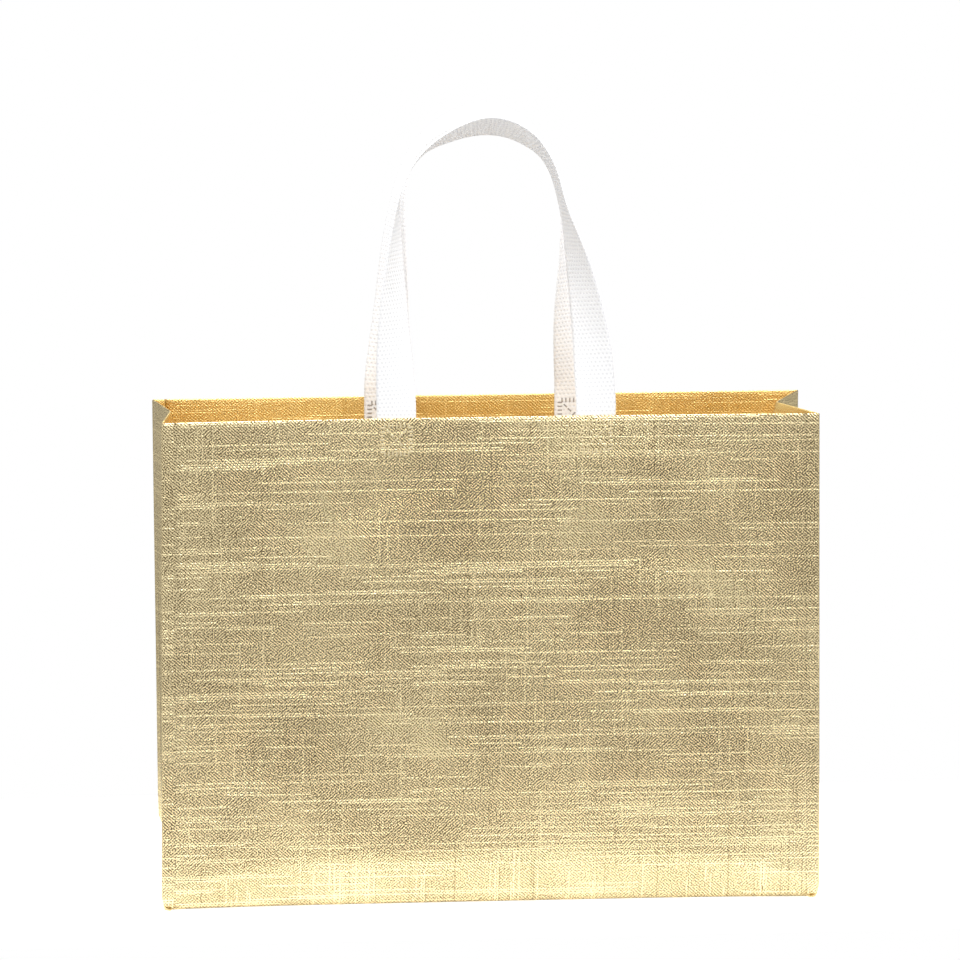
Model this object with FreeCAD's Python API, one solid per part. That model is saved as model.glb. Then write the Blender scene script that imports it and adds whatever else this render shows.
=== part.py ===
import FreeCAD, Part
import math
import os

# Open-topped gift bag of film-faced non-woven sheet, with side gussets tucked in
# and two strap handles welded inside the rim.
# Millimetres. +Z is up and +X is to the right. The front panel faces -Y.
# The origin is on the floor, under the middle of the bag.
# The sheet bends only along its creases, so each facet between creases is its own solid.

# Driving dimensions of the sheet
WIDTH = 400.0
HEIGHT = 300.0
GUSSET_WIDTH = 100.0
TUCK = 14.0
SHEET = 0.5
HEM_DEPTH = 30.0
SEAM_WIDTH = 12.0

# Room left at the creases, so that the facets fold without meeting
CREASE_GAP = 0.3
HEM_CORNER_GAP = 5.0
MITRE_GAP = 2.4
GORE_GAP = 1.6
SEAM_CORNER_GAP = 3.5
SEAM_LOW = 24.0

# Driving dimensions of the strap handles
STRAP_WIDTH = 24.0
STRAP_THICK = 1.0
STRAP_END_DROP = 27.0
SWING_HEIGHT = 2.0
SWING_GAP = 0.3
STRAP_STEPS = 5

# Welds: a square of short dashes with a cross inside
WELD_SIDE = 20.0
WELD_DROP = 2.8
WELD_DASH = 2.8
WELD_BAR = 0.8
WELD_PROUD = 0.15
WELD_COUNT = 7
WELD_CROSS_COUNT = 5
WELD_ROW_SPAN = 0.84
WELD_CROSS_SPAN = 0.6

# Worked out
HALF_WIDTH = WIDTH / 2
HALF_GUSSET = GUSSET_WIDTH / 2
HALF_DEPTH = math.sqrt(HALF_GUSSET ** 2 - TUCK ** 2)
INNER_FACE = HALF_DEPTH
OUTER_FACE = HALF_DEPTH + SHEET
HEM_FACE = INNER_FACE - SHEET
STRAP_MID = HEM_FACE - STRAP_THICK / 2
STRAP_FACE = HEM_FACE - STRAP_THICK
FLOOR_CREASE = SHEET
FOOT = SWING_HEIGHT + SWING_GAP

# The middle of each strap above the rim: x, height over the rim, and how far the
# strap has turned about its own length from lying flat on the panel, in degrees.
# Both loops run from the left foot over the top to the right foot.
FRONT_ROUTE = [
    (-57.5, FOOT, 0.0),
    (-57.7, 12.0, 4.0),
    (-59.0, 52.0, 32.0),
    (-58.3, 98.0, 61.0),
    (-55.0, 137.0, 84.0),
    (-43.0, 159.0, 80.0),
    (-22.0, 172.0, 66.0),
    (0.0, 177.0, 57.0),
    (20.0, 170.5, 64.0),
    (35.5, 154.0, 80.0),
    (44.5, 126.0, 82.0),
    (53.5, 91.0, 57.0),
    (60.6, 49.0, 28.0),
    (63.6, 12.0, 4.0),
    (63.8, FOOT, 0.0),
]
BACK_ROUTE = [
    (-57.5, FOOT, 0.0),
    (-57.0, 12.0, 4.0),
    (-53.0, 50.0, 32.0),
    (-51.0, 92.0, 58.0),
    (-47.0, 129.0, 80.0),
    (-36.5, 154.0, 84.0),
    (-16.0, 169.5, 76.0),
    (6.0, 174.7, 69.0),
    (27.0, 167.5, 76.0),
    (43.5, 148.0, 84.0),
    (53.0, 120.0, 76.0),
    (57.0, 88.0, 56.0),
    (57.6, 48.0, 30.0),
    (59.8, 12.0, 4.0),
    (60.0, FOOT, 0.0),
]


def vec(x, y, z):
    return FreeCAD.Vector(x, y, z)


def prism(points, along):
    """A closed solid: the flat outline through the points, pushed along a vector."""
    outline = Part.makePolygon(points + [points[0]])
    return Part.Face(outline).extrude(along)


def block(x, y, z):
    """A box from three (low, high) pairs."""
    size = (x[1] - x[0], y[1] - y[0], z[1] - z[0])
    return Part.makeBox(size[0], size[1], size[2], vec(x[0], y[0], z[0]))


def save(name, shape):
    shape.exportStep("parts/" + name + ".step")


def mirrored(shape, normal):
    """The shape reflected in the plane through the origin with this normal."""
    return shape.mirror(vec(0, 0, 0), normal)


def facet_section(corner, crease, inward):
    """Outline of a half gusset or half floor, seen along its creases, as (a, b) pairs.
    Its inside touches the corner crease and its outside touches the middle crease,
    so that it can fold almost shut at both."""
    length = math.dist(corner, crease)
    along = ((crease[0] - corner[0]) / length, (crease[1] - corner[1]) / length)
    gap = (along[0] * CREASE_GAP, along[1] * CREASE_GAP)
    thick = (inward[0] * SHEET, inward[1] * SHEET)
    near = (corner[0] + gap[0], corner[1] + gap[1])
    far = (crease[0] - gap[0], crease[1] - gap[1])
    return [
        near,
        (near[0] - thick[0], near[1] - thick[1]),
        far,
        (far[0] + thick[0], far[1] + thick[1]),
    ]


def front_panel():
    """The wide flat front, up to the fold of the hem."""
    return block((-HALF_WIDTH, HALF_WIDTH), (-OUTER_FACE, -INNER_FACE), (0, HEIGHT - SHEET))


def front_hem():
    """The sheet turned over the rim and laid down the inside of the panel."""
    x = (-HALF_WIDTH + HEM_CORNER_GAP, HALF_WIDTH - HEM_CORNER_GAP)
    turn = block(x, (-OUTER_FACE, -HEM_FACE), (HEIGHT - SHEET, HEIGHT))
    fall = block(x, (-INNER_FACE, -HEM_FACE), (HEIGHT - HEM_DEPTH, HEIGHT - SHEET))
    return turn.fuse(fall).removeSplitter()


def gusset_outline():
    """Plan outline of the front half of the left gusset."""
    inward = (HALF_DEPTH / HALF_GUSSET, -TUCK / HALF_GUSSET)
    return facet_section((-HALF_WIDTH, -INNER_FACE), (-HALF_WIDTH + TUCK, 0), inward)


def half_gusset():
    """Front half of the left gusset, up to the fold of its hem."""
    points = [vec(x, y, 0) for x, y in gusset_outline()]
    return prism(points, vec(0, 0, HEIGHT - SHEET))


def half_gusset_hem():
    """The hem inside the front half of the left gusset."""
    near, near_out, far, far_in = [vec(x, y, 0) for x, y in gusset_outline()]
    face = (far_in - near).normalize()
    inward = face.cross(vec(0, 0, 1))
    start = near + face * HEM_CORNER_GAP
    start_out = near_out + face * HEM_CORNER_GAP
    fall = prism([start, far_in, far_in + inward * SHEET, start + inward * SHEET],
                 vec(0, 0, HEM_DEPTH))
    turn = prism([start_out, far, far_in + inward * SHEET, start + inward * SHEET],
                 vec(0, 0, SHEET))
    fall.translate(vec(0, 0, HEIGHT - HEM_DEPTH - SHEET))
    turn.translate(vec(0, 0, HEIGHT - SHEET))
    return fall.fuse(turn).removeSplitter()


def half_floor():
    """Front half of the floor: it rises from the front edge to the middle crease, and
    its ends are mitred so that they pass the gussets as the bag folds."""
    inward = (-TUCK / HALF_GUSSET, HALF_DEPTH / HALF_GUSSET)
    outline = facet_section((-INNER_FACE, FLOOR_CREASE), (0, FLOOR_CREASE + TUCK), inward)
    sheet = prism([vec(-HALF_WIDTH, y, z) for y, z in outline], vec(WIDTH, 0, 0))
    wide = HALF_WIDTH - MITRE_GAP
    narrow = wide - HALF_GUSSET
    plan = [vec(-wide, -INNER_FACE, 0), vec(wide, -INNER_FACE, 0), vec(narrow, 0, 0),
            vec(-narrow, 0, 0)]
    return sheet.common(prism(plan, vec(0, 0, HALF_GUSSET)))


def corner_gore():
    """Triangle of sheet between the left gusset, the floor and the front left corner."""
    corners = [vec(-HALF_WIDTH, -INNER_FACE, FLOOR_CREASE),
               vec(-HALF_WIDTH + TUCK, 0, FLOOR_CREASE),
               vec(-HALF_WIDTH + HALF_GUSSET, 0, FLOOR_CREASE + TUCK)]
    sides = [(corners[1] - corners[2]).Length, (corners[2] - corners[0]).Length,
             (corners[0] - corners[1]).Length]
    around = sum(sides)
    middle = vec(0, 0, 0)
    for corner, side in zip(corners, sides):
        middle = middle + corner * (side / around)
    normal = (corners[2] - corners[0]).cross(corners[1] - corners[0]).normalize()
    twice_area = (corners[1] - corners[0]).cross(corners[2] - corners[0]).Length
    shrink = 1 - GORE_GAP * around / twice_area
    inset = [middle + (corner - middle) * shrink for corner in corners]
    thick = normal * (SHEET if normal.z > 0 else -SHEET)
    return prism(inset, thick)


def side_seam():
    """Lap of the sheet's two ends, glued down inside the back panel's left edge."""
    left = -HALF_WIDTH + SEAM_CORNER_GAP
    return block((left, left + SEAM_WIDTH), (HEM_FACE, INNER_FACE),
                 (SEAM_LOW, HEIGHT - HEM_DEPTH - SHEET))


def strap_end(middle_x):
    """The flat end of a front strap, lying on the hem."""
    x = (middle_x - STRAP_WIDTH / 2, middle_x + STRAP_WIDTH / 2)
    z = (HEIGHT - STRAP_END_DROP, HEIGHT + SWING_HEIGHT - SWING_GAP)
    return block(x, (-HEM_FACE, -STRAP_FACE), z)


def weld_bar(x, z, angle, length):
    """One dash of a weld, on the inner face of a front strap end."""
    bar = block((-length / 2, length / 2), (0, WELD_PROUD), (-WELD_BAR / 2, WELD_BAR / 2))
    bar.rotate(vec(0, 0, 0), vec(0, 1, 0), angle)
    bar.translate(vec(x, -STRAP_FACE, z))
    return bar


def weld(middle_x):
    """A square of dashes with a cross of dashes inside it."""
    middle_z = HEIGHT - WELD_DROP - WELD_SIDE / 2
    reach = (WELD_SIDE - WELD_DASH) / 2
    bars = []
    for step in range(WELD_COUNT):
        place = reach * (2 * step / (WELD_COUNT - 1) - 1) * WELD_ROW_SPAN
        for side in (-reach, reach):
            bars.append(weld_bar(middle_x + place, middle_z + side, 90, WELD_DASH))
            bars.append(weld_bar(middle_x + side, middle_z + place, 0, WELD_DASH))
    for step in range(WELD_CROSS_COUNT):
        place = reach * (2 * step / (WELD_CROSS_COUNT - 1) - 1) * WELD_CROSS_SPAN
        bars.append(weld_bar(middle_x + place, middle_z + place, -45, WELD_DASH))
        if place != 0:
            bars.append(weld_bar(middle_x - place, middle_z + place, 45, WELD_DASH))
    return Part.makeCompound(bars)


def curve_point(route, position):
    """A point on the smooth curve through the route; position counts its points."""
    index = min(int(position), len(route) - 2)
    part = position - index
    before = route[max(index - 1, 0)]
    start = route[index]
    end = route[index + 1]
    after = route[min(index + 2, len(route) - 1)]
    point = []
    for a, b, c, d in zip(before, start, end, after):
        slope_b = (c - a) / 2
        slope_c = (d - b) / 2
        rise = c - b
        bend = (3 * rise - 2 * slope_b - slope_c) * part ** 2
        turn = (slope_b + slope_c - 2 * rise) * part ** 3
        point.append(b + slope_b * part + bend + turn)
    return point


def strap_loop(route, side):
    """The free loop of a strap, as flat sections joined in order.
    side is -1 for the front handle and 1 for the back handle."""
    count = (len(route) - 1) * STRAP_STEPS
    points = [curve_point(route, step / STRAP_STEPS) for step in range(count + 1)]
    sections = []
    for index, (x, z, turn) in enumerate(points):
        before = points[max(index - 1, 0)]
        after = points[min(index + 1, count)]
        run = vec(after[0] - before[0], 0, after[1] - before[1]).normalize()
        if index in (0, count):
            run = vec(0, 0, 1 if index == 0 else -1)
        outward = vec(-run.z, 0, run.x)
        angle = math.radians(turn)
        across = outward * math.cos(angle) + vec(0, side * math.sin(angle), 0)
        face = run.cross(across)
        middle = vec(x, side * STRAP_MID, HEIGHT + z)
        wide = across * (STRAP_WIDTH / 2)
        thick = face * (STRAP_THICK / 2)
        corners = [middle - wide - thick, middle + wide - thick, middle + wide + thick,
                   middle - wide + thick]
        sections.append(Part.makePolygon(corners + [corners[0]]))
    return Part.makeLoft(sections, True, True)


os.makedirs("parts", exist_ok=True)
X_AXIS = vec(1, 0, 0)
Y_AXIS = vec(0, 1, 0)

# Walls, their hems and the floor: one quarter or half is shaped, the rest is its mirror image
save("front_panel", front_panel())
save("front_hem", front_hem())
save("back_panel", mirrored(front_panel(), Y_AXIS))
save("back_hem", mirrored(front_hem(), Y_AXIS))
save("floor_front", half_floor())
save("floor_back", mirrored(half_floor(), Y_AXIS))
save("side_seam", side_seam())
for end, kind in (("gusset", half_gusset), ("gusset_hem", half_gusset_hem), ("gore", corner_gore)):
    shape = kind()
    save("left_front_" + end, shape)
    save("left_back_" + end, mirrored(shape, Y_AXIS))
    save("right_front_" + end, mirrored(shape, X_AXIS))
    save("right_back_" + end, mirrored(mirrored(shape, X_AXIS), Y_AXIS))

# Handles: the free loop, its two flat ends and their welds
for place, route, side in (("front", FRONT_ROUTE, -1), ("back", BACK_ROUTE, 1)):
    save(place + "_handle_loop", strap_loop(route, side))
    for hand, foot in (("left", route[0][0]), ("right", route[-1][0])):
        end = strap_end(foot)
        spots = weld(foot)
        if side > 0:
            end = mirrored(end, Y_AXIS)
            spots = mirrored(spots, Y_AXIS)
        save(place + "_handle_end_" + hand, end)
        save(place + "_weld_" + hand, spots)
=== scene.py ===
"""Gift bag of gold film on non-woven sheet, with two white strap handles. Metres, in the CAD frame."""
import bpy
import math
import numpy as np
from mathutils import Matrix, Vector, noise


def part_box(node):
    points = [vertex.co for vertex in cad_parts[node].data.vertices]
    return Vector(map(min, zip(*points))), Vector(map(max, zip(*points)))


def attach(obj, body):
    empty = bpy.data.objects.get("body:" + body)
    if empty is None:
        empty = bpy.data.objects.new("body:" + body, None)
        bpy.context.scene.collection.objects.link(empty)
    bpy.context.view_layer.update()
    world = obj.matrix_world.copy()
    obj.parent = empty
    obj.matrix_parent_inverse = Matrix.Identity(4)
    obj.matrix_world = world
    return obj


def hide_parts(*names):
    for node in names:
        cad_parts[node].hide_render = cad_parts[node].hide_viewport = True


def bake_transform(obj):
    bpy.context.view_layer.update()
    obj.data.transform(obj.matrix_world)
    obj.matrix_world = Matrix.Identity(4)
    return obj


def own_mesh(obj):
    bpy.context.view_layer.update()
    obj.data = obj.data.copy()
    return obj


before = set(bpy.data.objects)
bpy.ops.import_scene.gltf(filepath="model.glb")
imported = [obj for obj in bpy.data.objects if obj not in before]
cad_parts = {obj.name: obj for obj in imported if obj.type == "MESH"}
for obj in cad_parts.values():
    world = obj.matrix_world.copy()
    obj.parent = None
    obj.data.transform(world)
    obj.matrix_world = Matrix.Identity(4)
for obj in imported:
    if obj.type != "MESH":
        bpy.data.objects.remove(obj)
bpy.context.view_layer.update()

MM = 0.001

# Sizes read from the frame
PANEL_LOW, PANEL_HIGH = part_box("front_panel")
HEM_LOW, HEM_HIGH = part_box("front_hem")
END_LOW, END_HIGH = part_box("front_handle_end_left")
HALF_WIDTH = PANEL_HIGH.x
RIM = HEM_HIGH.z
HALF_DEPTH = -PANEL_HIGH.y
SHEET = PANEL_HIGH.y - PANEL_LOW.y
WALL_MID = HALF_DEPTH + SHEET / 2
HEM_DEPTH = HEM_HIGH.z - HEM_LOW.z
HALF_GUSSET = 50 * MM
TUCK = math.sqrt(HALF_GUSSET ** 2 - HALF_DEPTH ** 2)
STRAP_WIDTH = END_HIGH.x - END_LOW.x
STRAP_THICK = END_HIGH.y - END_LOW.y
STRAP_LOW = END_LOW.z

# Shape of the soft skin: the bow of the wide walls at the rim, the fold at the rim, the round of the
# corners, the half width of the corner strips, and the height and size of the sheet's unevenness
FRONT_BOW = 6.0 * MM
BACK_BOW = 1.0 * MM
TURN_RADIUS = 0.45 * MM
CORNER_ROUND = 2.2 * MM
STRIP = 8.0 * MM
WAVE = 1.3 * MM
WAVE_SIZE = 85 * MM
WAVE_DETAIL = 2.3
WAVE_DETAIL_SHARE = 0.35
EDGE_FADE = 45 * MM
RIM_FADE_START = 0.3

# The foot slopes in under a soft bend: the bend's height at the corners and what the middle adds, the
# slope, the share of the height that the bend takes, and the turn at the very edge
FOOT_HEIGHT = 9.0 * MM
FOOT_HEIGHT_MIDDLE = 28.0 * MM
FOOT_SLOPE = math.tan(math.radians(14))
FOOT_BEND = 0.35
FOOT_TURN = 3.2 * MM

# How the two side creases differ from the CAD at the rim, and the loose fold of the right hem
LEFT_CREASE_SHIFT = -6.0 * MM
RIGHT_CREASE_SHIFT = 6.0 * MM
RIGHT_HEM_FLAP = 2.0 * MM

# The walls flare a little towards the foot, and the back's lower corners are drawn in
FLARE = 1.8 * MM
BACK_LEAN = 4.0 * MM
BACK_CORNER_PULL = 6.0 * MM
BACK_CORNER_HEIGHT = 40 * MM

# How far before the right back corner the right gusset ends and the back wall starts
OPEN_CORNER = 0.4 * MM

# Steps of the meshes round the bag
WALL_STEP = 4 * MM
GUSSET_STEP = 3 * MM
STRIP_STEP = 0.8 * MM
FLOOR_STEP = 5 * MM
SEAM_STEP = 3 * MM

# The floor's sag and unevenness, the gores' ridge and the side lap
FLOOR_SAG = 0.8 * MM
FLOOR_WAVE = 0.5 * MM
GORE_RIDGE = 9 * MM
GORE_TIP = 0.03
SEAM_LIFT = 12 * MM
SEAM_GAP = 0.1 * MM

# The strap's cupping where it turns, and its thickness against the CAD's
STRAP_CUP = 0.5 * MM
STRAP_SHARE = 0.9

# The weld's dashes: width, length, and how proud they stand on the strap and on the film
DASH_WIDTH = 0.9 * MM
DASH_LENGTH = 2.8 * MM
DASH_PROUD = 0.12 * MM
MARK_PROUD = 0.18 * MM

# The middle of each strap above the rim, in millimetres and degrees: x, height, turn
FOOT = 2.3
FRONT_ROUTE = [
    (-57.5, FOOT, 0.0),
    (-57.7, 12.0, 4.0),
    (-59.0, 52.0, 32.0),
    (-58.3, 98.0, 61.0),
    (-55.0, 137.0, 84.0),
    (-43.0, 159.0, 80.0),
    (-22.0, 172.0, 66.0),
    (0.0, 177.0, 57.0),
    (20.0, 170.5, 64.0),
    (35.5, 154.0, 80.0),
    (44.5, 126.0, 82.0),
    (53.5, 91.0, 57.0),
    (60.6, 49.0, 28.0),
    (63.6, 12.0, 4.0),
    (63.8, FOOT, 0.0),
]
BACK_ROUTE = [
    (-57.5, FOOT, 0.0),
    (-57.0, 12.0, 4.0),
    (-53.0, 50.0, 32.0),
    (-51.0, 92.0, 58.0),
    (-47.0, 129.0, 80.0),
    (-36.5, 154.0, 84.0),
    (-16.0, 169.5, 76.0),
    (6.0, 174.7, 69.0),
    (27.0, 167.5, 76.0),
    (43.5, 148.0, 84.0),
    (53.0, 120.0, 76.0),
    (57.0, 88.0, 56.0),
    (57.6, 48.0, 30.0),
    (59.8, 12.0, 4.0),
    (60.0, FOOT, 0.0),
]


# ---------------------------------------------------------------- small helpers

def smooth(t):
    """0 below 0, 1 above 1, and a smooth step between."""
    t = min(max(t, 0.0), 1.0)
    return t * t * (3 - 2 * t)


def wave(a, b, seed):
    """Gentle unevenness of the sheet at the place (a, b), from -1 to 1."""
    place = Vector((a / WAVE_SIZE, b / WAVE_SIZE, seed * 7.31))
    fine = noise.noise(place * WAVE_DETAIL + Vector((3.1, 1.7, 0)))
    return noise.noise(place) + WAVE_DETAIL_SHARE * fine


def new_object(name, vertices, faces, uvs, face_materials, materials):
    """A mesh object with the UV map 'cloth', whose unit is the metre. A face with the negative of a
    material's number is shaded flat."""
    mesh = bpy.data.meshes.new(name)
    mesh.from_pydata(vertices, [], faces)
    layer = mesh.uv_layers.new(name="cloth")
    for loop in mesh.loops:
        layer.data[loop.index].uv = uvs[loop.vertex_index]
    for material in materials:
        mesh.materials.append(material)
    for face, index in zip(mesh.polygons, face_materials):
        face.material_index = abs(index)
        face.use_smooth = index >= 0
    mesh.update()
    obj = bpy.data.objects.new(name, mesh)
    bpy.context.scene.collection.objects.link(obj)
    return obj


def shell(name, points, uvs, thickness, materials, second_from=None, spare=0):
    """A closed sheet from a grid of points on its middle surface, rows by columns. The outside is where
    columns x rows points. materials is (outside, inside), and a third for the outside from a row on.
    The spare columns at both ends only give the direction of the surface there."""
    grid = np.array(points, float)
    along = np.gradient(grid, axis=1)
    up = np.gradient(grid, axis=0)
    normal = np.cross(along, up)
    normal /= np.linalg.norm(normal, axis=2)[:, :, None]
    if spare:
        grid, normal = grid[:, spare:-spare], normal[:, spare:-spare]
    rows, columns = grid.shape[:2]
    outside = (grid + normal * thickness / 2).reshape(-1, 3)
    inside = (grid - normal * thickness / 2).reshape(-1, 3)
    flat_uvs = [tuple(uv) for row in uvs for uv in row]
    count = rows * columns
    faces, kinds = [], []
    rim = list(range(columns))
    rim += [r * columns + columns - 1 for r in range(1, rows)]
    rim += [(rows - 1) * columns + c for c in range(columns - 2, -1, -1)]
    rim += [r * columns for r in range(rows - 2, 0, -1)]
    for a, b in zip(rim, rim[1:] + rim[:1]):
        faces.append((b, a, count + a, count + b))
        kinds.append(-1)
    for r in range(rows - 1):
        for c in range(columns - 1):
            a = r * columns + c
            quad = (a, a + 1, a + columns + 1, a + columns)
            faces.append(quad)
            kinds.append(0 if second_from is None or r < second_from else 2)
            faces.append(tuple(count + v for v in reversed(quad)))
            kinds.append(1)
    vertices = np.concatenate([outside, inside]).tolist()
    return new_object(name, vertices, faces, flat_uvs + flat_uvs, kinds, materials)


# ---------------------------------------------------------------- materials

# The film's grain: one slanted line, how far it wanders, and the relief's height
GRAIN_WIDE = 2.15 * MM
GRAIN_HIGH = 1.95 * MM
GRAIN_WANDER = 1.0 * MM
GRAIN_HEIGHT = 0.085 * MM

# Noise scales per metre: wandering lines, patches of either slant, grit, and clouds of darker and lighter
# tone
WANDER_SCALE = 330.0
PATCH_SCALE = 55.0
GRIT_SCALE = 1250.0
CLOUD_SCALE = 14.0

# The raised threads, along and across, and the grooves: pitch, length, and the share they cover
SLUB = (1.46 * MM, 66 * MM, 0.25)
UPRIGHT = (1.6 * MM, 26 * MM, 0.07)
GROOVE = (1.6 * MM, 34 * MM, 0.05)
GROOVE_SHIFT = 0.7 * MM
SLUB_HALF_WIDTH = 0.36

# The grain is pressed flatter at the foot, between these heights
PRESSED_LOW = 12 * MM
PRESSED_HIGH = 42 * MM
PRESSED_GRAIN = 0.5

# What the film reflects at a glancing angle
GLANCE = (1.0, 0.93, 0.74, 1.0)


class Nodes:
    """Short way to write a material's node tree."""

    def __init__(self, name):
        self.material = bpy.data.materials.new(name)
        self.material.use_nodes = True
        self.tree = self.material.node_tree
        self.tree.nodes.clear()
        self.shader = self.add("ShaderNodeBsdfPrincipled")
        output = self.add("ShaderNodeOutputMaterial")
        self.tree.links.new(self.shader.outputs[0], output.inputs[0])

    def add(self, kind, **settings):
        node = self.tree.nodes.new(kind)
        for key, value in settings.items():
            setattr(node, key, value)
        return node

    def feed(self, socket, value):
        """Links a node's output to the socket, or sets the socket to a number or colour."""
        if isinstance(value, (int, float, tuple)):
            socket.default_value = value
        else:
            self.tree.links.new(value, socket)

    def math(self, operation, a, b=0.0, c=0.0):
        node = self.add("ShaderNodeMath", operation=operation)
        for socket, value in zip(node.inputs, (a, b, c)):
            self.feed(socket, value)
        return node.outputs[0]

    def cloth(self):
        """The sheet's own coordinates in metres, as (x, y)."""
        uv = self.add("ShaderNodeUVMap", uv_map="cloth")
        split = self.add("ShaderNodeSeparateXYZ")
        self.feed(split.inputs[0], uv.outputs[0])
        return split.outputs[0], split.outputs[1]

    def place(self, x, y, z=0.0):
        node = self.add("ShaderNodeCombineXYZ")
        for socket, value in zip(node.inputs, (x, y, z)):
            self.feed(socket, value)
        return node.outputs[0]

    def noise(self, place, scale, detail):
        node = self.add("ShaderNodeTexNoise")
        self.feed(node.inputs["Vector"], place)
        self.feed(node.inputs["Scale"], scale)
        self.feed(node.inputs["Detail"], detail)
        return node.outputs["Fac"]

    def chance(self, a, b):
        """A number from 0 to 1 that is the same wherever a and b are the same."""
        node = self.add("ShaderNodeTexWhiteNoise", noise_dimensions="2D")
        self.feed(node.inputs["Vector"], self.place(a, b))
        return node.outputs["Value"]

    def ramp(self, value, *stops):
        """stops are (position, colour) pairs."""
        node = self.add("ShaderNodeValToRGB")
        ramp = node.color_ramp
        while len(ramp.elements) < len(stops):
            ramp.elements.new(0.5)
        for element, (position, colour) in zip(ramp.elements, stops):
            element.position = position
            element.color = (*colour, 1.0)
        self.feed(node.inputs[0], value)
        return node.outputs[0]

    def bump(self, height, distance):
        node = self.add("ShaderNodeBump")
        self.feed(node.inputs["Height"], height)
        self.feed(node.inputs["Distance"], distance)
        self.feed(node.inputs["Strength"], 1.0)
        self.feed(self.shader.inputs["Normal"], node.outputs[0])


def slubs(n, across, along, threads, seed):
    """The raised threads of the linen grain, from 0 to 1: thin straight runs along one way, in rows a
    pitch apart. share is how much of the rows' length they cover."""
    pitch, length, share = threads
    row = n.math("FLOOR", n.math("DIVIDE", across, pitch))
    start = n.math("MULTIPLY", n.chance(row, seed), 9.0)
    stretch = n.math("ADD", 0.4, n.math("MULTIPLY", n.chance(row, seed + 0.37), 1.6))
    run = n.math("ADD", n.math("DIVIDE", along, n.math("MULTIPLY", stretch, length)), start)
    cell = n.math("FLOOR", run)
    present = n.math("LESS_THAN", n.chance(row, n.math("ADD", cell, seed)), share)
    strength = n.math("ADD", 0.45, n.math("MULTIPLY", n.chance(row, n.math("ADD", cell, seed + 5.0)), 0.55))
    part = n.math("FRACT", n.math("DIVIDE", across, pitch))
    off = n.math("DIVIDE", n.math("ABSOLUTE", n.math("SUBTRACT", part, 0.5)), SLUB_HALF_WIDTH)
    profile = n.math("MAXIMUM", n.math("SUBTRACT", 1.0, off), 0.0)
    return n.math("MULTIPLY", n.math("MULTIPLY", present, strength), profile)


def twill(n, x, y, turn):
    """The fine slanted grain, from -1 to 1; turn is 1 for lines falling to the right, or -1."""
    level = n.math("DIVIDE", x, GRAIN_WIDE)
    rise = n.math("MULTIPLY", n.math("DIVIDE", y, GRAIN_HIGH), turn)
    return n.math("SINE", n.math("MULTIPLY", n.math("ADD", level, rise), 2 * math.pi))


def gold_film(name, highlight_and_light_tone, shade_and_dark_tone, roughness, grain_light_and_shade):
    """Metallised film with an embossed linen grain: slanted fine weave, long slubs and random clouds of
    darker and lighter tone. Its colour holds painted shade in the grain's pits and grooves and painted
    highlight on the raised threads.
    """
    n = Nodes(name)
    x, y = n.cloth()
    place = n.place(x, y)
    wander = n.math("MULTIPLY", n.math("SUBTRACT", n.noise(place, WANDER_SCALE, 2.0), 0.5), GRAIN_WANDER)
    wx = n.math("ADD", x, wander)
    wy = n.math("SUBTRACT", y, wander)
    patch = n.math("MULTIPLY", n.math("SUBTRACT", n.noise(place, PATCH_SCALE, 2.0), 0.5), 2.4)
    falling = n.math("MULTIPLY", twill(n, wx, wy, 1.0), n.math("ADD", 0.62, patch))
    rising = n.math("MULTIPLY", twill(n, wx, wy, -1.0), n.math("SUBTRACT", 0.42, patch))
    grit = n.math("MULTIPLY", n.math("SUBTRACT", n.noise(place, GRIT_SCALE, 2.0), 0.5), 8.0)
    fine = n.math("ADD", n.math("ADD", falling, rising), grit)
    pressed = n.add("ShaderNodeMapRange", interpolation_type="SMOOTHSTEP")
    for socket, value in zip(pressed.inputs, (y, PRESSED_LOW, PRESSED_HIGH, PRESSED_GRAIN, 1.0)):
        n.feed(socket, value)
    fine = n.math("MULTIPLY", fine, pressed.outputs[0])
    broken = n.math("ADD", 0.85, n.math("MULTIPLY", fine, 0.18))
    level = slubs(n, y, x, SLUB, seed=3.0)
    upright = n.math("MULTIPLY", slubs(n, x, y, UPRIGHT, seed=11.0), 0.6)
    groove = slubs(n, n.math("ADD", x, GROOVE_SHIFT), y, GROOVE, seed=23.0)
    threads = n.math("MULTIPLY", n.math("MAXIMUM", level, upright), broken)
    height = n.math("ADD", n.math("MULTIPLY", fine, 0.55), n.math("MULTIPLY", threads, 1.25))
    height = n.math("SUBTRACT", height, groove)
    n.bump(height, GRAIN_HEIGHT)
    cloud = n.math("SUBTRACT", n.noise(place, CLOUD_SCALE, 3.0), 0.5)
    # Painted shade and highlight: the colour follows the relief, darker in the fine grain's pits and the
    # grooves and lighter on its ridges and the raised threads; the clouds shift it at random
    tone = n.math("ADD", 0.5, n.math("MULTIPLY", fine, 0.42 * grain_light_and_shade))
    tone = n.math("ADD", tone, n.math("MULTIPLY", threads, 1.0))
    tone = n.math("SUBTRACT", tone, n.math("MULTIPLY", groove, 0.3))
    tone = n.math("ADD", tone, n.math("MULTIPLY", cloud, 0.6))
    n.feed(n.shader.inputs["Base Color"], n.ramp(tone, (0.0, shade_and_dark_tone), (0.95, highlight_and_light_tone)))
    n.feed(n.shader.inputs["Roughness"], n.math("ADD", roughness, n.math("MULTIPLY", cloud, 0.2)))
    n.shader.inputs["Metallic"].default_value = 1.0
    n.shader.inputs["Specular Tint"].default_value = GLANCE
    return n.material


DOT_RADIUS = 0.34
FIBRE_SCALE = 1900.0
FIBRE_STRETCH = 0.35
FUZZ_SCALE = 45.0
DOT_DEPTH = 0.12 * MM
WELD_SCALE = 900.0
WELD_DEPTH = 0.03 * MM


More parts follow.
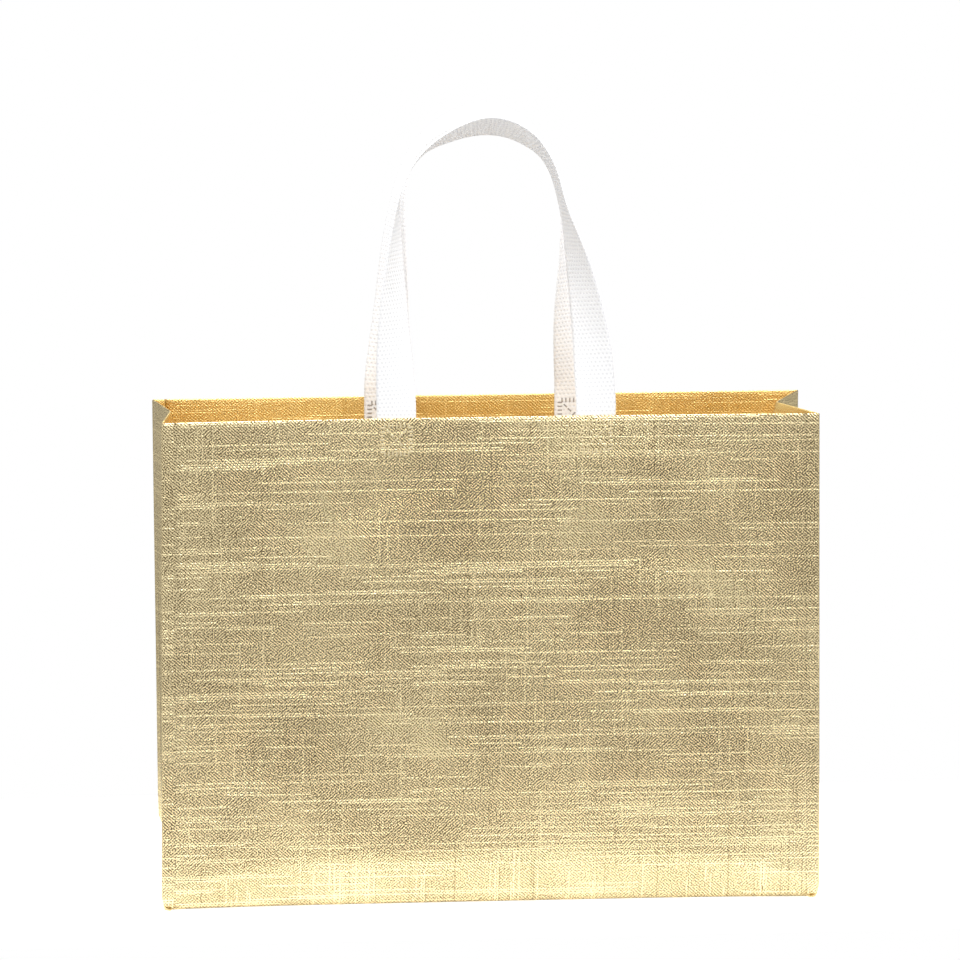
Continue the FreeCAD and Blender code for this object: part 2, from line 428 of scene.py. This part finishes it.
def dots(n, x, y, pitch, radius):
    """1 inside the pressed dots of a non-woven, in staggered rows, and 0 between them."""
    row = n.math("FLOOR", n.math("DIVIDE", y, pitch))
    shift = n.math("MULTIPLY", n.math("PINGPONG", row, 1.0), pitch / 2)
    dx = n.math("SUBTRACT", n.math("FRACT", n.math("DIVIDE", n.math("ADD", x, shift), pitch)), 0.5)
    dy = n.math("SUBTRACT", n.math("FRACT", n.math("DIVIDE", y, pitch)), 0.5)
    far = n.math("SQRT", n.math("ADD", n.math("MULTIPLY", dx, dx), n.math("MULTIPLY", dy, dy)))
    node = n.add("ShaderNodeMapRange", interpolation_type="SMOOTHSTEP")
    for socket, value in zip(node.inputs, (far, radius * 0.6, radius, 1.0, 0.0)):
        n.feed(socket, value)
    return node.outputs[0]


def non_woven(name, light, dark, pitch, roughness):
    """Fibres pressed together in a pattern of small dots."""
    n = Nodes(name)
    x, y = n.cloth()
    place = n.place(x, y)
    pressed = dots(n, x, y, pitch, DOT_RADIUS)
    stretched = n.place(n.math("MULTIPLY", x, FIBRE_STRETCH), y)
    fibres = n.noise(stretched, FIBRE_SCALE, 3.0)
    cloud = n.noise(place, FUZZ_SCALE, 2.0)
    height = n.math("SUBTRACT", n.math("MULTIPLY", fibres, 0.7), pressed)
    n.bump(height, DOT_DEPTH)
    tone = n.math("ADD", n.math("MULTIPLY", pressed, 0.55), n.math("MULTIPLY", cloud, 0.35))
    tone = n.math("ADD", tone, n.math("MULTIPLY", fibres, 0.2))
    n.feed(n.shader.inputs["Base Color"], n.ramp(tone, (0.2, light), (1.0, dark)))
    n.shader.inputs["Roughness"].default_value = roughness
    n.shader.inputs["Sheen Weight"].default_value = 0.15
    return n.material


def weld_finish(name, light, dark, metallic, roughness):
    """Fibre or film pressed smooth by the weld."""
    n = Nodes(name)
    x, y = n.cloth()
    mottle = n.noise(n.place(x, y), WELD_SCALE, 2.0)
    n.bump(mottle, WELD_DEPTH)
    n.feed(n.shader.inputs["Base Color"], n.ramp(mottle, (0.3, light), (0.7, dark)))
    n.shader.inputs["Metallic"].default_value = metallic
    n.shader.inputs["Roughness"].default_value = roughness
    return n.material


FILM = gold_film("gold_film", highlight_and_light_tone=(1.0, 0.85, 0.515), shade_and_dark_tone=(0.13, 0.08, 0.025),
                 roughness=0.25, grain_light_and_shade=1.55)
# The hem's film is the gold film tinted more orange and lighter, with less grain shade: painted reflection
# of the lit gold inside of the bag
HEM_FILM_PAINTED_REFLECTION = gold_film("gold_hem_film_painted_reflection", highlight_and_light_tone=(1.0, 0.78, 0.34), shade_and_dark_tone=(0.60, 0.37, 0.10),
                     roughness=0.36, grain_light_and_shade=0.8)
BACKING = non_woven("gold_backing", light=(0.86, 0.68, 0.34), dark=(0.68, 0.50, 0.22),
                    pitch=2.2 * MM, roughness=0.8)
STRAP = non_woven("white_webbing", light=(0.86, 0.86, 0.865), dark=(0.72, 0.72, 0.74),
                  pitch=2.5 * MM, roughness=0.75)
WELD = weld_finish("pressed_webbing", light=(0.42, 0.40, 0.38), dark=(0.28, 0.26, 0.25),
                   metallic=0.0, roughness=0.35)
MARK = weld_finish("pressed_film", light=(0.95, 0.84, 0.58), dark=(0.78, 0.64, 0.38),
                   metallic=1.0, roughness=0.3)


# ---------------------------------------------------------------- the skin

SIDE_LENGTHS = (2 * HALF_WIDTH, HALF_GUSSET, HALF_GUSSET, 2 * HALF_WIDTH, HALF_GUSSET, HALF_GUSSET)
STARTS = [sum(SIDE_LENGTHS[:k]) for k in range(7)]
AROUND = STARTS[6]


def corner_place(index, z):
    """The corners of the bag's outline at a height, from the front left one, anticlockwise from above."""
    up = smooth((z - 0.3 * RIM) / (0.65 * RIM))
    low = max(0.0, 1 - z / BACK_CORNER_HEIGHT)
    pull = BACK_LEAN * (1 - z / RIM) + BACK_CORNER_PULL * math.sqrt(low)
    if index in (2, 5):
        shift = RIGHT_CREASE_SHIFT if index == 2 else LEFT_CREASE_SHIFT
        across = HALF_WIDTH - TUCK - shift * up
        return Vector((across if index == 2 else -across, 0, 0))
    side = -1 if index < 2 else 1
    hand = 1 if index in (1, 3) else -1
    across = HALF_WIDTH + FLARE * (1 - z / RIM) - (pull if side > 0 else 0.0)
    return Vector((hand * across, side * HALF_DEPTH, 0))


def wall_shift(x, z, side):
    """How far a wide wall stands back (+Y) from its flat place."""
    u = min(abs(x) / HALF_WIDTH, 1.0)
    up = z / RIM
    bow = (FRONT_BOW if side < 0 else BACK_BOW) * (1 - u * u) * up * up
    fade = smooth((HALF_WIDTH - abs(x)) / EDGE_FADE) * smooth(z / EDGE_FADE)
    fade *= smooth((RIM - z) / EDGE_FADE + RIM_FADE_START)
    return bow + WAVE * wave(x, z, side) * fade + dents(x, z, side) * fade


def dents(x, z, side):
    """A few soft diagonal folds near the lower corners and the top, where the sheet is pulled."""
    total = 0.0
    for px, pz, angle, length, width, depth in FOLDS:
        dx = (x if side < 0 else -x) - px * HALF_WIDTH
        dz = z - pz * RIM
        along = dx * math.cos(angle) + dz * math.sin(angle)
        across = -dx * math.sin(angle) + dz * math.cos(angle)
        total += depth * math.exp(-(along / length) ** 2 - (across / width) ** 2)
    return total


# Place (shares of the half width and height), direction, length, width and depth of each soft fold
FOLDS = (
    (-0.78, 0.30, math.radians(62), 45 * MM, 14 * MM, 3.0 * MM),
    (0.80, 0.28, math.radians(118), 40 * MM, 14 * MM, 2.6 * MM),
    (-0.66, 0.62, math.radians(-15), 28 * MM, 8 * MM, -0.9 * MM),
    (0.52, 0.72, math.radians(-4), 45 * MM, 12 * MM, 1.4 * MM),
    (0.50, 0.90, math.radians(-50), 25 * MM, 8 * MM, -0.7 * MM),
    (-0.35, 0.84, math.radians(20), 60 * MM, 14 * MM, 1.3 * MM),
)


def outline(s, z):
    """The point at the distance s round the outline, at height z, on the sheet's middle surface."""
    s %= AROUND
    edge = max(k for k in range(6) if STARTS[k] <= s + 1e-9)
    near = edge if s - STARTS[edge] < SIDE_LENGTHS[edge] / 2 else edge + 1
    gap = s - STARTS[near]
    if abs(gap) < CORNER_ROUND:
        here = corner_place(near % 6, z)
        before = (corner_place((near - 1) % 6, z) - here).normalized()
        after = (corner_place((near + 1) % 6, z) - here).normalized()
        t = (gap + CORNER_ROUND) / (2 * CORNER_ROUND)
        point = here + before * (CORNER_ROUND * (1 - t) ** 2) + after * (CORNER_ROUND * t * t)
    else:
        share = (s - STARTS[edge]) / SIDE_LENGTHS[edge]
        point = corner_place(edge, z).lerp(corner_place((edge + 1) % 6, z), share)
    if edge in (0, 3):
        point.y += wall_shift(point.x, z, -1 if edge == 0 else 1)
    return point


def outward(s, z):
    """The direction out of the bag, level, at the distance s round the outline."""
    step = 0.6 * MM
    run = outline(s + step, z) - outline(s - step, z)
    return Vector((run.y, -run.x, 0)).normalized()


def foot_height(s):
    """Height of the sloping foot: largest in the middle of the wide walls."""
    s %= AROUND
    edge = max(k for k in range(6) if STARTS[k] <= s + 1e-9)
    if edge not in (0, 3):
        return FOOT_HEIGHT
    u = 2 * (s - STARTS[edge]) / SIDE_LENGTHS[edge] - 1
    return FOOT_HEIGHT + FOOT_HEIGHT_MIDDLE * (1 - u ** 4)


def foot_reach(height, z):
    """How far in the foot is at the height z."""
    down = max(0.0, 1 - z / height)
    part = min(down / FOOT_BEND, 1.0)
    bend = FOOT_BEND * (part ** 3 - part ** 4 / 2) + max(0.0, down - FOOT_BEND)
    edge = max(0.0, 1 - z / FOOT_TURN)
    return FOOT_SLOPE * height * bend + FOOT_TURN * (1 - math.sqrt(1 - edge * edge))


# Rows of the skin's mesh, and how soon the right hem's fold opens below the rim
FOOT_ROWS = 18
WALL_ROWS = 66
FOLD_ROWS = 6
HEM_ROWS = 12
ALL_ROWS = FOOT_ROWS + WALL_ROWS + FOLD_ROWS + HEM_ROWS
FLAP_DROP = 4 * MM


def skin_point(s, row):
    """The point of the skin in a row, counted from the foot up over the rim and down the hem, and the
    length along the sheet to it."""
    height = foot_height(s)
    top = RIM - TURN_RADIUS - SHEET / 2
    if row < FOOT_ROWS:
        rise = height * (row / FOOT_ROWS) ** 2
        z = SHEET / 2 + rise
        inward = foot_reach(height, rise)
        along = z
    elif row <= FOOT_ROWS + WALL_ROWS:
        low = SHEET / 2 + height
        z = low + (top - low) * (row - FOOT_ROWS) / WALL_ROWS
        inward, along = 0.0, z
    elif row <= FOOT_ROWS + WALL_ROWS + FOLD_ROWS:
        angle = math.pi * (row - FOOT_ROWS - WALL_ROWS) / FOLD_ROWS
        z = top + TURN_RADIUS * math.sin(angle)
        inward = TURN_RADIUS * (1 - math.cos(angle))
        along = top + TURN_RADIUS * angle
    else:
        drop = (HEM_DEPTH - SHEET) * (row - FOOT_ROWS - WALL_ROWS - FOLD_ROWS) / HEM_ROWS
        z = top - drop
        flap = max(0.0, 1 - abs(s % AROUND - STARTS[2]) / HALF_GUSSET) ** 2
        inward = 2 * TURN_RADIUS + RIGHT_HEM_FLAP * flap * smooth(drop / FLAP_DROP)
        along = top + math.pi * TURN_RADIUS + drop
    point = outline(s, z) - outward(s, z) * inward
    point.z = z
    return point, along


def stations(first, last, step):
    count = max(2, round((last - first) / step))
    return [first + (last - first) * k / count for k in range(count + 1)]


def make_skin(name, first, last, step):
    """A length of the skin round the outline, from first to last, with its hem."""
    points, uvs = [], []
    row_of = FOOT_ROWS + WALL_ROWS + FOLD_ROWS // 2
    across = stations(first, last, step)
    widened = [2 * across[0] - across[1], *across, 2 * across[-1] - across[-2]]
    for row in range(ALL_ROWS + 1):
        line = [skin_point(s, row) for s in widened]
        points.append([tuple(point) for point, along in line])
        uvs.append([(s, along) for s, (point, along) in zip(across, line[1:-1])])
    # From the middle of the rim's fold down the hem, the outside takes the hem film with its painted
    # reflection
    return shell(name, points, uvs, SHEET, (FILM, BACKING, HEM_FILM_PAINTED_REFLECTION), second_from=row_of, spare=1)


def make_floor(side):
    """Half the floor, rising from the wall's foot to the middle crease."""
    first = STARTS[0] if side < 0 else STARTS[3]
    crease_half = HALF_WIDTH - HALF_GUSSET
    rows = 11
    points, uvs = [], []
    for r in range(rows + 1):
        t = r / rows
        row, uv = [], []
        for s in stations(first, first + 2 * HALF_WIDTH, FLOOR_STEP):
            foot, along = skin_point(s, 0)
            share = 2 * (s - first) / (2 * HALF_WIDTH) - 1
            crease = Vector((-side * crease_half * share, 0, SHEET / 2 + TUCK))
            place = foot.lerp(crease, t)
            sag = FLOOR_SAG * math.sin(math.pi * t) * (1 - abs(share) ** 6)
            unevenness = FLOOR_WAVE * (1 + wave(place.x, place.y, side + 4)) * math.sin(math.pi * t)
            place.z = max(place.z - sag + unevenness, SHEET / 2)
            row.append(tuple(place))
            uv.append((s, along - HALF_GUSSET * t))
        points.append(row)
        uvs.append(uv)
    points.reverse()
    uvs.reverse()
    return shell(SIDES[side] + "_floor_sheet", points, uvs, SHEET, (FILM, BACKING))


def make_gore(hand, side):
    """Corner triangle between gusset and floor, buckled up because the bag isn't squared."""
    corners = {(-1, -1): STARTS[0], (1, -1): STARTS[1], (1, 1): STARTS[3], (-1, 1): STARTS[4]}
    corner_s = corners[(hand, side)]
    turn = 1 if hand * side < 0 else -1
    corner, along = skin_point(corner_s, 0)
    inner = Vector((hand * (HALF_WIDTH - HALF_GUSSET), 0, SHEET / 2 + TUCK))
    rows = 12
    points, uvs = [], []
    for r in range(rows + 1):
        t = max(r / rows, GORE_TIP)
        foot, along = skin_point(corner_s + turn * HALF_GUSSET * t, 0)
        mitre = corner.lerp(inner, t)
        row, uv = [], []
        for c in range(rows + 1):
            share = c / rows
            place = foot.lerp(mitre, share)
            place.z += GORE_RIDGE * math.sin(math.pi * share) * t
            row.append(tuple(place))
            uv.append((corner_s + turn * HALF_GUSSET * t, along - HALF_GUSSET * t * share))
        points.append(row)
        uvs.append(uv)
    if hand * side < 0:
        points.reverse()
        uvs.reverse()
    return shell(HANDS[hand] + "_" + SIDES[side] + "_gore_sheet", points, uvs, SHEET, (FILM, BACKING))


def make_seam():
    """The lap of the sheet's two ends, glued inside the back wall's left edge."""
    low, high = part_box("side_seam")
    first = STARTS[4] - (high.x + HALF_WIDTH)
    last = STARTS[4] - (low.x + HALF_WIDTH)
    rows = 48
    points, uvs = [], []
    for r in range(rows + 1):
        z = low.z + SEAM_LIFT + (high.z - low.z - SEAM_LIFT) * r / rows
        row = []
        for s in stations(first, last, SEAM_STEP):
            place = outline(s, z) - outward(s, z) * (SHEET + SEAM_GAP)
            row.append((place.x, place.y, z))
        points.append(row)
        uvs.append([(s + 1.0, z) for s in stations(first, last, SEAM_STEP)])
    return shell("side_seam_lap", points, uvs, SHEET, (BACKING, BACKING))


# ---------------------------------------------------------------- handles

def curve_point(route, position):
    """A point on the smooth curve through the route; position counts its points."""
    index = min(int(position), len(route) - 2)
    part = position - index
    stations = (route[max(index - 1, 0)], route[index], route[index + 1],
                route[min(index + 2, len(route) - 1)])
    point = []
    for a, b, c, d in zip(*stations):
        slope_b = (c - a) / 2
        slope_c = (d - b) / 2
        rise = c - b
        bend = (3 * rise - 2 * slope_b - slope_c) * part ** 2
        turn = (slope_b + slope_c - 2 * rise) * part ** 3
        point.append(b + slope_b * part + bend + turn)
    return point


def strap_path(route):
    """(x, z, turn) along the whole strap, from its left end up over the top to its right end."""
    ends = 14
    fine = 10
    low = [STRAP_LOW + (RIM - STRAP_LOW) * k / ends for k in range(ends)]
    steps = [(route[0][0] * MM, z, 0.0) for z in low]
    count = (len(route) - 1) * fine
    for k in range(count + 1):
        x, z, turn = curve_point(route, k / fine)
        steps.append((x * MM, RIM + z * MM, math.radians(turn)))
    steps += [(route[-1][0] * MM, z, 0.0) for z in reversed(low)]
    return steps


def make_strap(place, route, side):
    """A strap with both its ends lying on the hem."""
    steps = strap_path(route)
    across_count = 13
    hem_face = WALL_MID - 2 * TURN_RADIUS - SHEET / 2
    points, uvs = [], []
    along = 0.0
    for k, (x, z, turn) in enumerate(steps):
        before = steps[max(k - 1, 0)]
        after = steps[min(k + 1, len(steps) - 1)]
        run = Vector((after[0] - before[0], 0, after[1] - before[1])).normalized()
        if turn == 0.0:
            run = Vector((0, 0, 1 if k < len(steps) / 2 else -1))
        if k:
            along += math.hypot(x - before[0], z - before[1])
        outward = Vector((-run.z, 0, run.x))
        across = outward * math.cos(turn) + Vector((0, side * math.sin(turn), 0))
        foot = route[0][0] * MM if k < len(steps) / 2 else route[-1][0] * MM
        shift = wall_shift(foot, min(z, RIM), side)
        middle = Vector((x, side * (hem_face - STRAP_THICK / 2) + shift, z))
        row, uv = [], []
        for c in range(across_count):
            w = c / (across_count - 1) - 0.5
            cup = run.cross(across) * (STRAP_CUP * (1 - 4 * w * w)) * math.sin(turn)
            point = middle + across * (STRAP_WIDTH * w) + cup
            row.append(tuple(point))
            uv.append((w * STRAP_WIDTH, along))
        if side > 0:
            row.reverse()
            uv.reverse()
        points.append(row)
        uvs.append(uv)
    strap = shell(place + "_handle_strap", points, uvs, STRAP_THICK * STRAP_SHARE, (STRAP, STRAP))
    return strap, along, hem_face - STRAP_THICK


def bar_mesh(bars, name, material, proud):
    """Low pillow-shaped dashes. bars are (centre, direction along, direction out, length)."""
    vertices, faces, uvs = [], [], []
    width = DASH_WIDTH
    for centre, along, out, length in bars:
        across = along.cross(out)
        first = len(vertices)
        for share, rise in ((1.0, -0.3), (0.92, 0.6), (0.6, 1.0)):
            for a, b in ((-1, -1), (1, -1), (1, 1), (-1, 1)):
                point = centre + along * (a * (length / 2 - width * (1 - share) / 2))
                point += across * (b * width * share / 2) + out * (proud * rise)
                vertices.append(tuple(point))
                uvs.append((point.x + point.y, point.z))
        for ring in range(2):
            for k in range(4):
                a = first + ring * 4 + k
                b = first + ring * 4 + (k + 1) % 4
                faces.append((a, b, b + 4, a + 4))
        faces.append(tuple(first + 8 + k for k in range(4)))
        faces.append(tuple(first + 3 - k for k in range(4)))
    return new_object(name, vertices, faces, uvs, [0] * len(faces), [material])


def weld_bars(foot, side, face_y, outward):
    """The dashes of one weld: a square of short bars with a cross of bars inside."""
    low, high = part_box("front_weld_left")
    size = high.z - low.z
    centre_z = (low.z + high.z) / 2
    reach = (size - DASH_LENGTH) / 2
    out = Vector((0, outward, 0))
    bars = []

    def put(dx, dz, angle):
        x = foot + dx
        z = centre_z + dz
        y = face_y + wall_shift(x, z, side)
        along = Vector((math.cos(angle), 0, math.sin(angle)))
        bars.append((Vector((x, y, z)), along, out, DASH_LENGTH))

    for k in range(7):
        place = reach * (k / 3 - 1) * 0.84
        for edge in (-reach, reach):
            put(place, edge, math.pi / 2)
            put(edge, place, 0.0)
    for k in range(5):
        place = reach * (k / 2 - 1) * 0.6
        put(place, place, math.pi / 4)
        if k != 2:
            put(-place, place, -math.pi / 4)
    return bars


# ---------------------------------------------------------------- put together

SIDES = {-1: "front", 1: "back"}
HANDS = {-1: "left", 1: "right"}


def finish_skin(piece, first, last, rests_on, *nodes):
    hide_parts(*nodes)


for side, place in SIDES.items():
    first = STARTS[0] + STRIP if side < 0 else STARTS[3] - OPEN_CORNER
    last = (STARTS[1] if side < 0 else STARTS[4]) - STRIP
    wall = make_skin(place + "_wall", first, last, WALL_STEP)
    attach(wall, place)
    finish_skin(wall, first, last, [place + "_floor_sheet"], place + "_panel", place + "_hem")

    floor = make_floor(side)
    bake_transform(floor)
    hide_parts("floor_" + place)

seam = make_seam()
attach(seam, "back")
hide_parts("side_seam")

# Both side gussets, each one sheet round its middle crease, and the strips round three of the corners.
# At the right back corner no joint joins the two bodies, so the wall itself goes round it.
for hand, hand_name in HANDS.items():
    first = (STARTS[1] if hand > 0 else STARTS[4]) + STRIP
    last = STARTS[3] - OPEN_CORNER if hand > 0 else STARTS[6] - STRIP
    gusset = make_skin(hand_name + "_gusset_sheet", first, last, GUSSET_STEP)
    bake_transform(gusset)
    nodes = [hand_name + "_" + place + "_gusset" + part for place in SIDES.values() for part in ("", "_hem")]
    finish_skin(gusset, first, last, ["front_wall", "back_wall"], *nodes)

    for side, place in SIDES.items():
        gore = make_gore(hand, side)
        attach(gore, place)
        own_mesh(gore)
        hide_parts(hand_name + "_" + place + "_gore")
        if (hand, side) == (1, 1):
            continue
        corner = {(-1, -1): STARTS[6], (1, -1): STARTS[1], (-1, 1): STARTS[4]}[(hand, side)]
        name = hand_name + "_" + place + "_corner"
        strip = make_skin(name, corner - STRIP, corner + STRIP, STRIP_STEP)
        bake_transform(strip)

for side, route in ((-1, FRONT_ROUTE), (1, BACK_ROUTE)):
    place = SIDES[side]
    strap, length, inner_face = make_strap(place, route, side)
    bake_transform(strap)
    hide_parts(place + "_handle_loop", place + "_handle_end_left", place + "_handle_end_right")
    for foot, hand_name in ((route[0][0], "left"), (route[-1][0], "right")):
        inner = weld_bars(foot * MM, side, side * inner_face, -side)
        welds = bar_mesh(inner, place + "_weld_dashes_" + hand_name, WELD, DASH_PROUD)
        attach(welds, place)
        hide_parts(place + "_weld_" + hand_name)
        outer = weld_bars(foot * MM, side, side * (HALF_DEPTH + SHEET), side)
        marks = bar_mesh(outer, place + "_weld_marks_" + hand_name, MARK, MARK_PROUD)
        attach(marks, place)


# ---------------------------------------------------------------- studio

# Brightness of the room in front and behind, of the dark cards at both sides, and of the table
FRONT_GLOW = 1.0
BACK_GLOW = 0.90
SIDE_CARDS = 0.42
TABLE_GLOW = 0.46

# The room's brightness changes over these parts of a direction: from front to back, and sideways
ROOM_FRONT = -0.2
ROOM_BACK = 0.9
CARD_STOPS = (0.1, 0.42, 0.8)

# The table's edges, front edge first, and its white
TABLE_NEAR = -0.14
TABLE_FAR = 0.30
TABLE_LEFT = -0.34
TABLE_RIGHT = 0.36
TABLE_WHITE = (0.92, 0.92, 0.92, 1.0)

# The camera: direction to it, distance, the point it looks at, lens and sensor in millimetres
CAMERA_AZIMUTH = math.radians(-5.63)
CAMERA_ELEVATION = math.radians(9.307)
CAMERA_DISTANCE = 4.9
CAMERA_AIM = Vector((-7.35 * MM, -48 * MM, 262.4 * MM))
CAMERA_LENS = 304
CAMERA_SENSOR = 36


def area_light(name, place, target, size, power):
    light = bpy.data.lights.new(name, "AREA")
    light.shape = "RECTANGLE"
    light.size, light.size_y = size
    light.energy = power
    obj = bpy.data.objects.new(name, light)
    obj.location = place
    obj.rotation_mode = "QUATERNION"
    obj.rotation_quaternion = (Vector(target) - Vector(place)).to_track_quat("-Z", "Y")
    bpy.context.scene.collection.objects.link(obj)


def make_studio_floor():
    """A plain white light table, with the bag near its front edge."""
    n = Nodes("table_top")
    n.shader.inputs["Base Color"].default_value = TABLE_WHITE
    n.shader.inputs["Roughness"].default_value = 0.7
    n.shader.inputs["Emission Color"].default_value = (1.0, 1.0, 1.0, 1.0)
    n.shader.inputs["Emission Strength"].default_value = TABLE_GLOW
    corners = [(TABLE_LEFT, TABLE_NEAR, 0), (TABLE_RIGHT, TABLE_NEAR, 0),
               (TABLE_RIGHT, TABLE_FAR, 0), (TABLE_LEFT, TABLE_FAR, 0)]
    table = new_object("studio_floor", corners, [(0, 1, 2, 3)], [(0, 0)] * 4, [0], [n.material])


def make_world():
    """A pale room, a little dimmer behind, with dark cards at both sides. The camera sees plain white."""
    world = bpy.data.worlds.new("studio")
    bpy.context.scene.world = world
    world.use_nodes = True
    tree = world.node_tree
    tree.nodes.clear()
    output = tree.nodes.new("ShaderNodeOutputWorld")
    place = tree.nodes.new("ShaderNodeTexCoord")
    split = tree.nodes.new("ShaderNodeSeparateXYZ")
    ramp = tree.nodes.new("ShaderNodeMapRange")
    tree.links.new(place.outputs["Generated"], split.inputs[0])
    tree.links.new(split.outputs[1], ramp.inputs[0])
    for socket, value in zip(list(ramp.inputs)[1:], (ROOM_FRONT, ROOM_BACK, FRONT_GLOW, BACK_GLOW)):
        socket.default_value = value
    sideways = tree.nodes.new("ShaderNodeMath")
    sideways.operation = "ABSOLUTE"
    tree.links.new(split.outputs[0], sideways.inputs[0])
    cards = tree.nodes.new("ShaderNodeValToRGB")
    cards.color_ramp.elements.new(0.5)
    for element, position, grey in zip(cards.color_ramp.elements, CARD_STOPS, (1.0, SIDE_CARDS, 1.0)):
        element.position = position
        element.color = (grey, grey, grey, 1.0)
    tree.links.new(sideways.outputs[0], cards.inputs[0])
    dimmed = tree.nodes.new("ShaderNodeMath")
    dimmed.operation = "MULTIPLY"
    tree.links.new(ramp.outputs[0], dimmed.inputs[0])
    tree.links.new(cards.outputs[0], dimmed.inputs[1])
    studio = tree.nodes.new("ShaderNodeBackground")
    tree.links.new(dimmed.outputs[0], studio.inputs["Color"])
    plain = tree.nodes.new("ShaderNodeBackground")
    plain.inputs["Color"].default_value = (1.0, 1.0, 1.0, 1.0)
    path = tree.nodes.new("ShaderNodeLightPath")
    mix = tree.nodes.new("ShaderNodeMixShader")
    tree.links.new(path.outputs["Is Camera Ray"], mix.inputs[0])
    tree.links.new(studio.outputs[0], mix.inputs[1])
    tree.links.new(plain.outputs[0], mix.inputs[2])
    tree.links.new(mix.outputs[0], output.inputs[0])


def make_camera():
    level = math.cos(CAMERA_ELEVATION)
    back = Vector((math.sin(CAMERA_AZIMUTH) * level, -math.cos(CAMERA_AZIMUTH) * level,
                   math.sin(CAMERA_ELEVATION)))
    data = bpy.data.cameras.new("camera")
    data.lens = CAMERA_LENS
    data.sensor_width = CAMERA_SENSOR
    camera = bpy.data.objects.new("camera", data)
    camera.location = CAMERA_AIM + back * CAMERA_DISTANCE
    camera.rotation_mode = "QUATERNION"
    camera.rotation_quaternion = (-back).to_track_quat("-Z", "Y")
    bpy.context.scene.collection.objects.link(camera)
    bpy.context.scene.camera = camera


make_studio_floor()
make_world()
area_light("top_light", place=(0.0, 0.3, 2.0), target=(0, 0.1, 0.2), size=(2.0, 1.8), power=58)
area_light("front_light", place=(0.2, -1.6, 2.1), target=(0, 0, 0.3), size=(2.0, 1.0), power=42)
make_camera()
bpy.context.scene.view_settings.view_transform = "Standard"
